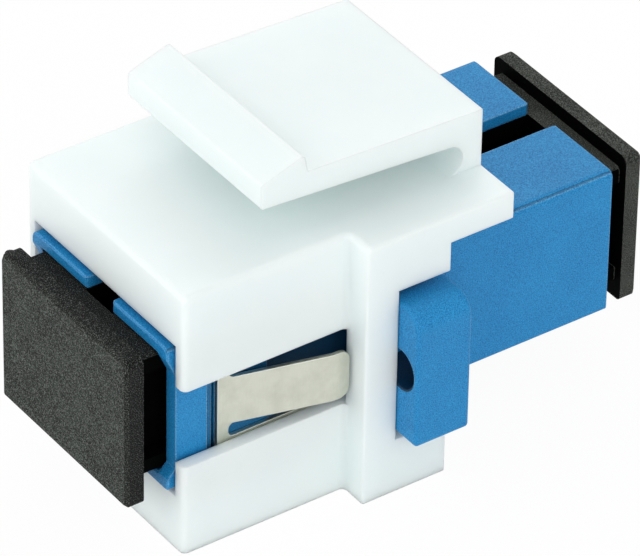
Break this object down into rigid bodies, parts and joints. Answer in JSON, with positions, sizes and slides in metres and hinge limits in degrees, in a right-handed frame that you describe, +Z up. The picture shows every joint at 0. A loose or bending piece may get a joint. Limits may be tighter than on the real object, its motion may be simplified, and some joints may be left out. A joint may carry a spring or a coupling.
{
  "type": "sc fibre adapter",
  "caption": "Blue SC fibre adapter held in a white keystone insert with a flexing latch, a steel spring clip at its sides and a black dust cap in each port.",
  "frame": {"origin": "centre of the bounding box in X and Y, on the underside of the keystone insert", "axes": "+Z up towards the latch, Y along the fibre with the panel face and the front port at -Y, X across"},
  "size_m": [0.0218, 0.0334, 0.0217],
  "materials": {
    "housing_white": "moulded, fine satin",
    "adapter_blue": "moulded, fine matte grain",
    "insert_white": "moulded, smooth",
    "sleeve_ceramic": "ground zirconia",
    "clip_steel": "stamped spring steel",
    "cap_black": "spark-eroded matte grain"
  },
  "bodies": {
    "adapter": {"keystone_housing": "housing_white", "adapter_front_shell": "adapter_blue", "adapter_rear_shell": "adapter_blue", "front_hook_insert": "insert_white", "rear_hook_insert": "insert_white", "alignment_sleeve": "sleeve_ceramic", "spring_clip": "clip_steel"},
    "front_cap": {"front_dust_cap": "cap_black"},
    "rear_cap": {"rear_dust_cap": "cap_black"}
  },
  "joints": [
    {"name": "front_cap_pull", "type": "slide", "parent": "adapter", "child": "front_cap", "axis": [0, -1, 0], "range_m": [0, 0.012]},
    {"name": "rear_cap_pull", "type": "slide", "parent": "adapter", "child": "rear_cap", "axis": [0, 1, 0], "range_m": [0, 0.012]}
  ]
}
